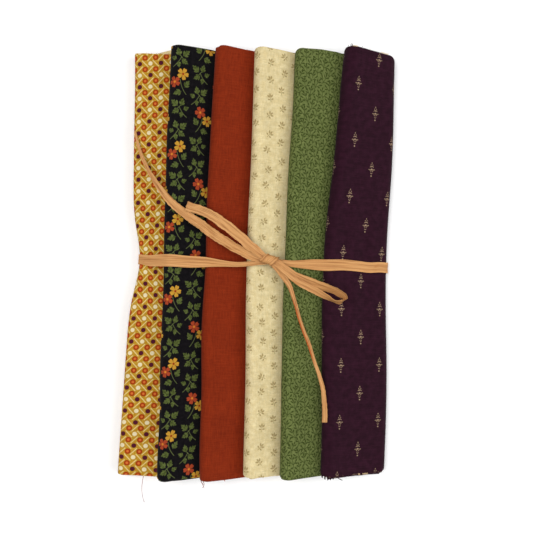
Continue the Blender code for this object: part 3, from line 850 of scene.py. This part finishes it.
def loose_threads(name, middle, fold_at_top, seed, threads, own, pale):
    """The threads that have worked loose at a roll's two ends, in one mesh."""
    draw = np.random.default_rng(seed)
    raw_edge = middle[UPPER_SIDE, 0]
    threads = list(threads)
    for x in draw.uniform(raw_edge[0, 0], raw_edge[-1, 0], FUZZ):
        threads.append(Thread(x, draw.uniform(*FUZZ_OUT), draw.uniform(*FUZZ_DRIFT), 0.0,
                              draw.uniform(*FUZZ_PALE), not fold_at_top))
    corners, faces, shades = [], [], []
    for thread in threads:
        edge = middle[UPPER_SIDE, OUTER_ROWS + 1 if thread.at_top == fold_at_top else 0]
        root = [np.interp(thread.x, edge[:, 0], edge[:, k]) for k in range(3)]
        side = 1.0 if thread.at_top else -1.0
        start = len(corners)
        corners += thread_tube(root, side, thread).reshape(-1, 3).tolist()
        shades += [thread.pale] * (THREAD_STEPS * THREAD_SIDES)
        for i in range(THREAD_STEPS - 1):
            for j in range(THREAD_SIDES):
                j2 = (j + 1) % THREAD_SIDES
                ring = start + i * THREAD_SIDES
                faces.append((ring + j, ring + j2,
                              ring + THREAD_SIDES + j2, ring + THREAD_SIDES + j))
        last = start + (THREAD_STEPS - 1) * THREAD_SIDES
        faces += [tuple(range(start, start + THREAD_SIDES))[::-1],
                  tuple(range(last, last + THREAD_SIDES))]
    fibre, tree, shader = new_material(name, 0.85, 0.15)
    share = add_node(tree, "ShaderNodeAttribute", attribute_name="pale").outputs["Fac"]
    tree.links.new(blend_colours(tree, share, own, pale), shader.inputs["Base Color"])
    return mesh_piece(name, np.array(corners) * MM, faces, fibre, {}, {"pale": shades})


def add_roll(name, material, fold_at_top, seed, threads, own, pale, raw_step=None):
    """One wound roll in place of its solid, and the threads loose at its ends."""
    middle, cloth_map = wind_roll(name, fold_at_top, seed, raw_step)
    piece = sheet_mesh(name + "_cloth", middle, cloth_map, material)
    fuzz = loose_threads(name + "_threads", middle, fold_at_top, seed + 100, threads, own, pale)
    take_place(piece, name)
    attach(fuzz, "root")


# The mustard cotton has a gold ground with a lattice of pale dashes, orange ringed dots where they
# turn, and maroon and cream spots by turns in the spaces.
def mustard_print(cloth):
    pitch_u, pitch_v = 5.76, 6.305
    ring_u, ring_v = 6.35, 91.15
    skew, skew_growth = 0.051, 0.00048
    dash_slant, dash_half, dash_thin = math.radians(47), 2.4, 0.23
    maroon_radius, cream_less, ring_radius, heart_radius = 1.25, 0.12, 1.48, 0.68
    x = cloth.u - ring_u
    y = cloth.v - ring_v - x * (cloth.v * skew_growth + skew)
    spot_x, spot_y = x.cell(pitch_u), y.cell(pitch_v)
    ring_x, ring_y = (x + pitch_u / 2).cell(pitch_u), (y + pitch_v / 2).cell(pitch_v)
    odd = (x.cell_number(pitch_u) + y.cell_number(pitch_v)).do("FLOORED_MODULO", 2.0)
    cloth.colour = cloth.mix(cloth.mottle(900, 900, 3.0, 2.0, 0.35, 0.7),
                             dye(170, 125, 32), dye(189, 148, 54))
    for dash_x, dash_y, way in ((ring_x, spot_y, -1), (spot_x, ring_y, 1)):
        along, aside = turned(dash_x, dash_y, way * dash_slant)
        dash = abs(aside).inside(dash_thin, 0.3) * abs(along).inside(dash_half, 0.4)
        cloth.paint(dash * 0.9, dye(222, 200, 134))
    spot = length_of(spot_x, spot_y) - (odd * -cream_less + maroon_radius)
    cloth.paint(spot.inside(0.0, 0.3), cloth.mix(odd, dye(80, 28, 42), dye(222, 207, 168)))
    out = length_of(ring_x, ring_y)
    cloth.paint(out.inside(ring_radius, 0.3), dye(150, 51, 16))
    cloth.paint(out.inside(heart_radius, 0.7), dye(203, 108, 48))


SLIVER = 2.4                # how much of the inner cloth shows, and from where to where it does
SLIVER_FROM, SLIVER_EASE, SLIVER_TO = 9.0, 9.0, 52.0


def mustard_sliver(travelled):
    """How far the inner cloth shows past the outer one, where the next roll comes over it."""
    grown = np.clip((travelled - TOP_START - SLIVER_FROM) / SLIVER_EASE, 0, 1)
    return SLIVER * grown * (travelled < SLIVER_TO)


mustard = cloth_material("mustard_cotton", mustard_print, 0.8, dye(218, 199, 151))
add_roll("roll_mustard", mustard, False, 21,
         (Thread(-58.2, 17.0, -0.5, -0.9, 1.0),), dye(176, 132, 46), dye(138, 66, 70),
         mustard_sliver)


# The black cotton is strewn with pairs of small flowers, one yellow and one orange, between sprigs
# of five lobed leaves. Every other column is a half repeat lower, with its pairs the other way
# round.
def leaf_shape(x, y, length, width):
    """How far inside a pointed leaf along x a place lies: over 0 inside, 1 on its rib."""
    along = x / (length / 2)
    return along * along * -1.0 + 1.0 - abs(y / (width / 2))


def side_leaf(x, y, opening, out, length, width):
    """A leaf that opens from a rib along x by an angle in degrees, with its middle a way out."""
    side_x, side_y = turned(x, y, math.radians(opening))
    return leaf_shape(side_x - out, side_y, length, width)


def floral_print(cloth):
    pitch, period, repeat = 11.1, 24.8, 38.23
    half = repeat / 2
    flower_u, flower_v, skew = 0.6, 60.3, 0.02
    u, v = cloth.u - flower_u, cloth.v - flower_v - cloth.u * skew
    cloth.colour = cloth.mix(cloth.mottle(600, 600, 3.0, 0.0, 0.3, 0.8),
                             dye(14, 12, 15), dye(25, 22, 25))
    green = cloth.mix(cloth.mottle(800, 800, 2.0, 4.0, 0.3, 0.7),
                      dye(60, 70, 31), dye(92, 102, 55))
    vein, rib = dye(98, 107, 64), dye(36, 45, 20)

    def paint_leaf(x, y, leaf, shown):
        along, aside = turned(x - leaf.x, y - leaf.y, math.radians(leaf.heading))
        along, aside, long = along + leaf.length / 2, abs(aside), leaf.length
        shape = largest(
            leaf_shape(along - long * 0.58, aside, long * 1.16, long * 0.38),
            side_leaf(along - long * 0.14, aside, 44, long * 0.30, long * 0.60, long * 0.27),
            side_leaf(along - long * 0.46, aside, 33, long * 0.24, long * 0.48, long * 0.22))
        inside = (shape * -1.0).inside(-0.02, 0.2) * shown
        cloth.paint(inside, green)
        cloth.paint(shape.inside(0.3, 0.3) * inside * 0.35, vein)
        cloth.paint(aside.inside(0.10, 0.14) * inside * 0.6, rib)

    def paint_stem(x, y, stem, shown):
        run_x, run_y = stem.end_x - stem.x, stem.end_y - stem.y
        length = math.hypot(run_x, run_y)
        along, aside = turned(x - stem.x, y - stem.y, math.atan2(run_y, run_x))
        bow = along * (along * -1.0 + length) * (4 * stem.bend / length ** 2)
        mask = abs(aside - bow).inside(0.16, 0.2) * abs(along - length / 2).inside(length / 2, 0.2)
        cloth.paint(mask * shown * 0.85, vein)

    # Two sprigs of five leaves a column in each repeat, the lower one the other way round
    sprigs_u, sprigs_v, sprig_off, sprig_up = 1.2, 23.8, 0.42, 5.95
    across = (u + sprigs_u + pitch / 2).do("FLOORED_MODULO", period)
    odd = across.do("GREATER_THAN", pitch)
    low = (v + odd * half + sprigs_v + half).cell(repeat)
    way = low.do("SIGN")
    x = (across - pitch / 2 - odd * pitch - way * sprig_off) * way
    y = low - way * sprig_up
    whole = abs(x).inside(pitch / 2 + 0.6)
    Stem = namedtuple("Stem", "x y end_x end_y bend")
    Leaf = namedtuple("Leaf", "x y heading length")
    for stem in (Stem(-0.6, 0.7, 4.0, -4.9, -0.5), Stem(-1.9, -1.3, 1.2, 2.0, 0.2)):
        paint_stem(x, y, stem, whole)
    for leaf in (Leaf(-2.9, 2.3, 140, 4.5), Leaf(1.0, 2.8, 76, 3.9), Leaf(3.3, -0.2, 24, 3.1),
                 Leaf(-2.1, -1.8, 208, 3.9), Leaf(0.9, -3.4, 262, 3.1)):
        paint_leaf(x, y, leaf, whole)

    # A yellow and an orange flower on one stem, and the other way round in the next column
    pair_down = 4.15
    down = v + pair_down + half / 2
    odd = down.cell_number(half).do("FLOORED_MODULO", 2.0)
    y = down.cell(half) - pair_down
    x = (u - odd * pitch + period / 2).cell(period) * (odd * -2.0 + 1.0)
    near = abs(x).inside(pitch)
    paint_stem(x, y, Stem(-1.5, -3.0, 2.3, -10.7, -0.7), near)
    for leaf in (Leaf(2.3, -5.3, 58, 4.2), Leaf(-2.4, -9.9, 200, 4.2)):
        paint_leaf(x, y, leaf, near)
    yellow, orange, yellow_heart, orange_heart = (dye(186, 138, 50), dye(154, 64, 38),
                                                  dye(139, 47, 21), dye(198, 119, 44))
    Flower = namedtuple("Flower", "x y radius start petal heart")
    for flower in (Flower(-4.3, -4.3, 3.15, 0.5, cloth.mix(odd, orange, yellow),
                          cloth.mix(odd, orange_heart, yellow_heart)),
                   Flower(0.0, 0.0, 3.4, 0.1, cloth.mix(odd, yellow, orange),
                          cloth.mix(odd, yellow_heart, orange_heart))):
        flower_x, flower_y = x - flower.x, y - flower.y
        out = length_of(flower_x, flower_y)
        lobe = abs(((flower_y.do("ARCTAN2", flower_x) + flower.start) * 2.5).do("COSINE"))
        edge = (lobe.do("POWER", 0.6) * 0.70 - lobe.do("POWER", 14.0) * 0.15
                + 0.32) * flower.radius
        inside = (out - edge).inside(0.0, 0.22) * near
        cloth.paint(inside, flower.petal)
        cloth.paint(inside * lobe.inside(0.3, 0.4) * (out * -1.0).inside(-0.9, 0.4) * 0.6,
                    dye(37, 23, 19))
        cloth.paint(out.inside(0.62, 0.4) * near, flower.heart)


floral = cloth_material("floral_cotton", floral_print, 0.35, dye(65, 59, 57))
add_roll("roll_floral", floral, True, 22, (),
         dye(24, 22, 24), dye(70, 66, 60))


# The rust cotton is plain, dyed in the piece, with its weave showing as a fine uneven grain. A few
# threads have frayed out of its cut edge at the near end.
def rust_print(cloth):
    cloth.colour = cloth.mix(cloth.mottle(1500, 160, 3.0, 4.0), dye(113, 37, 14), dye(128, 45, 18))
    cloth.paint(cloth.mottle(110, 1900, 3.0, 6.0, 0.35) * 0.55, dye(137, 50, 23))


rust = cloth_material("rust_cotton", rust_print, 0.4, dye(153, 76, 47))
add_roll("roll_rust", rust, False, 23,
         (Thread(-26.4, 4.6, 1.9, 0.2), Thread(-25.9, 4.0, 0.5, 1.3),
          Thread(-26.2, 2.4, 1.6, -0.4), Thread(-14.3, 0.9, 0.8, 0.2, 0.8),
          Thread(-13.4, 0.8, -0.6, 0.0, 0.8)),
         dye(126, 38, 18), dye(176, 82, 50))


# The cream cotton is strewn with olive sprigs of five small leaves on a short stem, each turned
# its own way.
def cell_noise(tree, column, row, seed):
    """Three even random values, the same all over one repeat of a print."""
    place = add_node(tree, "ShaderNodeCombineXYZ", {0: column.socket, 1: row.socket, 2: seed})
    noise = add_node(tree, "ShaderNodeTexWhiteNoise", {"Vector": place.outputs[0]})
    split = add_node(tree, "ShaderNodeSeparateColor", {0: noise.outputs["Color"]})
    return [Ink(tree, split.outputs[k]) for k in range(3)]


def cream_print(cloth):
    pitch_u, pitch_v, stray = 7.8, 9.2, 1.7
    sprig_u, most_turn = 1.5, 2.4
    x, y = cloth.u + sprig_u, cloth.v
    column = x.cell_number(pitch_u)
    y = y + column.do("FLOORED_MODULO", 2.0) * (pitch_v / 2)
    first, second, third = cell_noise(cloth.tree, column, y.cell_number(pitch_v), 4.0)
    x = x.cell(pitch_u) + (first - 0.5) * stray
    y = y.cell(pitch_v) + (second - 0.5) * stray
    x, y = turned(x, y, (third - 0.5) * most_turn + math.pi / 2)
    y = abs(y)
    leaves = largest(leaf_shape(x - 1.6, y, 2.2, 1.05),
                     side_leaf(x - 0.1, y, 46, 2.2 * 0.62, 2.2, 1.05),
                     side_leaf(x + 0.7, y, 84, 1.7 * 0.62, 1.7, 0.95))
    stem = y.inside(0.16, 0.18) * abs(x + 0.8).inside(1.3, 0.3)
    cloth.colour = cloth.mix(cloth.mottle(420, 420, 3.0, 8.0),
                             dye(207, 188, 139), dye(218, 202, 157))
    cloth.paint(largest((leaves * -1.0).inside(-0.12, 0.4), stem) * 0.85, dye(151, 130, 83))


cream = cloth_material("cream_cotton", cream_print, 0.3, dye(230, 218, 192))
add_roll("roll_cream", cream, True, 24, (),
         dye(214, 196, 150), dye(236, 226, 200))


# The green cotton is covered all over by a darker vine. Each piece of it is a short stem with a
# leaf on top, a pair of leaves below that, and two twigs that carry two small leaves each.
def green_print(cloth):
    u = cloth.u + (cloth.v * 0.42).do("SINE") * 0.5
    v = cloth.v + (cloth.u * 0.6).do("SINE") * 0.4
    across, upward, stray, most_turn = 7.2, 7.4, 0.9, 0.9
    marks = []
    Layer = namedtuple("Layer", "right up seed")
    for layer in (Layer(0.0, 0.0, 1.0), Layer(3.6, 3.7, 2.0)):
        x, y = u + layer.right, v + layer.up
        first, second, third = cell_noise(cloth.tree, x.cell_number(across), y.cell_number(upward),
                                          layer.seed)
        x = x.cell(across) + (second - 0.5) * stray
        y = y.cell(upward) + (third - 0.5) * stray
        along, aside = turned(x, y, (first - 0.5) * most_turn + math.radians(90))
        aside = abs(aside + along * along * (second - 0.5) * 0.08)
        twig_x, twig_y = turned(along + 2.1, aside, math.radians(42))
        leaves = largest(leaf_shape(along - 2.55, aside, 2.2, 0.95),
                         side_leaf(along - 0.4, aside, 40, 1.35, 2.0, 0.9),
                         leaf_shape(twig_x - 3.5, twig_y, 2.3, 0.95),
                         side_leaf(twig_x - 1.2, twig_y, 44, 1.25, 2.0, 0.9))
        stem = aside.inside(0.17, 0.2) * abs(along + 0.6).inside(2.8, 0.3)
        twig = abs(twig_y).inside(0.17, 0.2) * abs(twig_x - 1.5).inside(1.5, 0.3)
        marks += [(leaves * -1.0).inside(-0.12, 0.3), stem, twig]
    cloth.colour = cloth.mix(cloth.mottle(500, 500, 2.0, 3.0), dye(93, 103, 57), dye(109, 118, 69))
    cloth.paint(largest(*marks) * 0.9, dye(53, 62, 26))


green = cloth_material("green_cotton", green_print, 0.4, dye(136, 134, 96))
add_roll("roll_green", green, False, 25, (),
         dye(84, 94, 50), dye(150, 150, 110))


# The plum cotton carries small upright beige motifs of chevrons and dots, each column a half
# repeat lower than the last.
def plum_print(cloth):
    pitch_u, pitch_v = 11.8, 30.12
    motif_u, motif_v = 3.54, 67.8
    x, y = cloth.u - motif_u + pitch_u / 2, cloth.v - motif_v + pitch_v / 2
    column = x.cell_number(pitch_u)
    y = y + column.do("FLOORED_MODULO", 2.0) * (pitch_v / 2)
    x, y = abs(x.cell(pitch_u)), y.cell(pitch_v)
    marks = [(x * 1.5 + abs(y - 3.55)).inside(0.42, 0.25)]
    Arm = namedtuple("Arm", "height slope inner outer")
    for arm in (Arm(3.1, -0.9, 0.3, 0.85), Arm(2.1, -0.75, 0.2, 1.15),
                Arm(-1.35, 0.9, 0.25, 1.1), Arm(-2.35, 0.9, 0.0, 0.6)):
        line = abs(y - arm.height - x * arm.slope).inside(0.16, 0.2)
        middle, half = (arm.inner + arm.outer) / 2, (arm.outer - arm.inner) / 2
        marks.append(line * abs(x - middle).inside(half, 0.2))
    beads = length_of((x + 0.3).cell(0.75), y).inside(0.25, 0.2) * x.inside(2.1, 0.1)
    centre = (x * 1.2 + abs(y - 0.1)).inside(0.62, 0.3)
    crown = (x + abs(y - 1.55)).inside(0.32, 0.2)
    dot = length_of(x, y + 3.45).inside(0.36, 0.25)
    cloth.colour = cloth.mix(cloth.mottle(300, 300, 3.0, 3.0), dye(38, 15, 27), dye(49, 22, 36))
    cloth.paint(cloth.mottle(110, 1700, 3.0, 5.0, 0.35, 0.8) * 0.4, dye(58, 28, 42))
    cloth.paint(largest(*marks, beads, centre, crown, dot) * 0.85, dye(170, 144, 116))


plum = cloth_material("plum_cotton", plum_print, 0.3, dye(95, 66, 85))
THREAD_PAIR = 0.14          # from one thread to the next in a tooth of the comb
PALE_STEP = 0.31
plum_comb = [Thread(x + k * THREAD_PAIR, out, drift) for x, out, drift in (
    (37.9, 1.5, 0.1), (38.2, 1.3, 0.0), (39.3, 1.7, 0.1), (39.6, 1.8, 0.0),
    (40.9, 2.0, 0.1), (41.2, 1.8, 0.0), (42.2, 1.9, 0.1), (42.5, 1.7, 0.0),
    (43.7, 1.6, 0.2), (44.0, 1.4, 0.0), (44.9, 2.1, 3.9), (52.4, 0.9, 0.5)) for k in (-1, 0, 1)]
plum_pale = [Thread(x, 0.75 + 0.2 * math.sin(9 * x), 0.2, 0.0, 1.0, at_top)
             for first, last, at_top in ((57.8, 59.0, False), (60.4, 63.4, False),
                                         (46.4, 49.0, True), (62.2, 66.6, True))
             for x in np.arange(first, last, PALE_STEP)]
plum_tuft = [Thread(x, out, drift, 0.0, pale, True) for x, out, drift, pale in (
    (44.4, 1.0, -0.4, 0.1), (45.0, 1.2, 0.2, 0.0), (45.5, 1.9, 0.3, 0.0), (45.8, 1.6, 0.5, 0.0),
    (46.1, 1.2, 0.2, 0.0), (51.0, 0.9, 0.6, 0.0), (55.8, 0.8, 0.3, 0.9))]
add_roll("roll_plum", plum, True, 26,
         plum_comb + plum_pale + plum_tuft, dye(42, 17, 30), dye(214, 184, 142))

# The strand goes once round all six rolls, drawn tight, and is gathered narrow where it runs into
# the knot.
BandPlace = namedtuple("BandPlace", "x y width")
BAND_TOP = (
    BandPlace(-65, -0.1, 4.8),
    BandPlace(-55, -0.1, 6.4),
    BandPlace(-45, -0.1, 6.5),
    BandPlace(-37, 0.0, 6.2),
    BandPlace(-28, -0.1, 5.6),
    BandPlace(-19.5, -0.7, 3.4),
    BandPlace(-9.5, -0.9, 2.4),
    BandPlace(2, 0.6, 2.6),
    BandPlace(10, 1.2, 2.4),
    BandPlace(17.5, 0.4, 3.4),
    BandPlace(22, 0.3, 4.0),
    BandPlace(29.5, 0.6, 5.7),
    BandPlace(35, 0.7, 6.2),
    BandPlace(42, 0.8, 5.9),
    BandPlace(49, 0.6, 5.7),
    BandPlace(70, 0.0, 5.6),
)
BAND_UNDER_WIDTH = 6.2
BAND_OFF = 0.45             # from the rolls' surface to the strip's middle
BAND_STEP = 0.7
BAND_EASE = 9               # samples over which its width changes at the bundle's two sides
BAND_EDGE = 3.4             # how far its two edges lie from its middle
BAND_LIFT = 0.05            # how far it is lifted off the table underneath
SECTION_CORNERS = 48


def hull_of(points):
    """The taut outline round points in a plane, anticlockwise."""
    points = sorted(points)
    hull = []
    for run in (points, points[::-1]):
        side = []
        for p in run:
            while len(side) > 1 and ((side[-1][0] - side[-2][0]) * (p[1] - side[-2][1])
                                     - (side[-1][1] - side[-2][1]) * (p[0] - side[-2][0])) <= 0:
                side.pop()
            side.append(p)
        hull += side[:-1]
    return np.array(hull)


around_sections = []
for place in (-BAND_EDGE, 0.0, BAND_EDGE):
    for flat, roll in zip(flats_at(place), ROLLS.values()):
        run = (flat.low - flat.high).normalized()
        rise = Vector((-run.y, run.x))
        for k in range(SECTION_CORNERS):
            angle = 2 * math.pi * k / SECTION_CORNERS
            spot, edge = (flat.low, 2.0) if math.cos(angle) > 0 else (flat.high, roll.edge)
            out = [math.copysign(abs(t) ** (2 / edge), t)
                   for t in (math.cos(angle), math.sin(angle))]
            spot = spot + (run * out[0] + rise * out[1]) * (flat.radius + BAND_OFF)
            low = float(floor_at(place)) - BAND_OFF + BAND_LIFT
            around_sections.append((spot.x, max(spot.y, low)))
hull = hull_of(around_sections)
hull = np.concatenate((hull, hull[:1]))
hull_run = run_along(hull)
at = np.linspace(0, hull_run[-1], int(hull_run[-1] / BAND_STEP), endpoint=False)
band_x, band_z = np.interp(at, hull_run, hull[:, 0]), np.interp(at, hull_run, hull[:, 1])
heading = np.roll(band_x, -1) - np.roll(band_x, 1)
columns = np.array(BAND_TOP)
band_y = smooth(columns[:, 0], columns[:, 1], band_x)
band_wide = np.where(heading < 0, smooth(columns[:, 0], columns[:, 2], band_x), BAND_UNDER_WIDTH)
band_wide = np.mean([np.roll(band_wide, k) for k in range(-BAND_EASE, BAND_EASE + 1)], axis=0)
band_centres = np.stack((band_x, band_y, band_z), 1)
band = strip_mesh("raffia_band_strip", band_centres, np.tile((0.0, 1.0, 0.0), (len(at), 1)),
                  band_wide, 31, raffia, closed=True, crease=0.15)
take_place(band, "raffia_band")

# The bow's two loops: the left one is pressed flat, so that its upper layer lies on the lower one,
# and the right one stands open.
LOOP_LEFT = (
    Turn(4.8, 3.2, 21.4, 2.6, 50, 0),
    Turn(1.2, 5.2, 21.6, 4.2, 50, 0),
    Turn(-3.9, 8.9, 22.2, 5.0, 50, 0),
    Turn(-10.7, 14.5, 23.0, 5.3, 52, 0),
    Turn(-19.7, 21.0, 23.8, 5.4, 56, 0),
    Turn(-27.8, 25.7, 24.2, 4.8, 66, 0),
    Turn(-37.0, 28.4, 24.3, 4.9, 74, 0),
    Turn(-38.3, 28.7, 23.7, 5.0, 74, 0),
    Turn(-37.0, 28.4, 23.1, 4.9, 74, 0),
    Turn(-27.8, 25.7, 22.9, 4.6, 66, 0),
    Turn(-19.7, 21.0, 22.5, 5.0, 56, 0),
    Turn(-10.7, 14.5, 21.8, 4.8, 52, 0),
    Turn(-3.9, 8.9, 21.0, 4.2, 50, 0),
    Turn(1.0, 4.8, 20.7, 3.6, 52, 0),
    Turn(4.8, 2.6, 20.6, 2.4, 52, 0),
)
LOOP_RIGHT = (
    Turn(7.2, 2.2, 21.4, 2.6, 70, 0),
    Turn(10.6, 1.0, 21.4, 3.0, 62, 5),
    Turn(14.4, -1.6, 21.3, 3.0, 60, 10),
    Turn(19.3, -5.0, 21.2, 3.4, 62, 14),
    Turn(25.1, -7.5, 21.2, 4.4, 66, 18),
    Turn(33.1, -10.6, 21.2, 5.6, 66, 28),
    Turn(39.0, -12.3, 21.1, 5.5, 64, 45),
    Turn(43.5, -14.0, 20.8, 5.7, 58, 51),
    Turn(46.4, -16.8, 20.3, 6.0, 44, 60),
    Turn(44.6, -18.8, 20.6, 6.0, 66, 56),
    Turn(40.6, -18.3, 21.3, 5.2, 58, 74),
    Turn(36.8, -16.4, 21.8, 3.9, 60, 46),
    Turn(30.6, -13.1, 22.1, 3.7, 60, 14),
    Turn(24.7, -10.2, 22.0, 4.0, 56, 8),
    Turn(19.3, -7.4, 21.9, 3.4, 52, 4),
    Turn(14.2, -3.6, 21.5, 3.0, 50, 0),
    Turn(10.7, -0.6, 21.1, 3.0, 52, 0),
    Turn(7.2, 1.4, 20.8, 2.6, 60, 0),
)
for node_name, turns, seed in (("raffia_loop_left", LOOP_LEFT, 5),
                               ("raffia_loop_right", LOOP_RIGHT, 6)):
    centres, across, widths = strand_route(turns)
    loop = strip_mesh(node_name + "_strip", centres, across, widths, seed, raffia, crease=0.14)
    take_place(loop, node_name)

# The knot is the strand's last wrap, drawn slantwise over the gathered strands and under the band.
# It holds the loops and the tails where they cross.
KNOT_CENTRE = (6.0, 2.3, 20.9)
KNOT_HEADING = math.radians(-12)
KNOT_SLANT = math.radians(40)
KNOT_WIDE = 6.2
KNOT_HALF = (2.9, 1.75)
KNOT_STEPS = 40
angles = np.linspace(0, 2 * math.pi, KNOT_STEPS, endpoint=False)
slant = np.array((math.cos(KNOT_SLANT), math.sin(KNOT_SLANT), 0))
wrap_centres = (np.array(KNOT_CENTRE) + slant * (KNOT_HALF[0] * np.cos(angles))[:, None]
                + np.array((0, 0, 1)) * (KNOT_HALF[1] * np.sin(angles))[:, None])
wrap_across = np.tile((math.cos(KNOT_HEADING), math.sin(KNOT_HEADING), 0), (KNOT_STEPS, 1))
knot = strip_mesh("raffia_knot_wrap", wrap_centres, wrap_across,
                  np.full(KNOT_STEPS, KNOT_WIDE), 41, raffia, closed=True, crease=0.16)
take_place(knot, "raffia_knot")
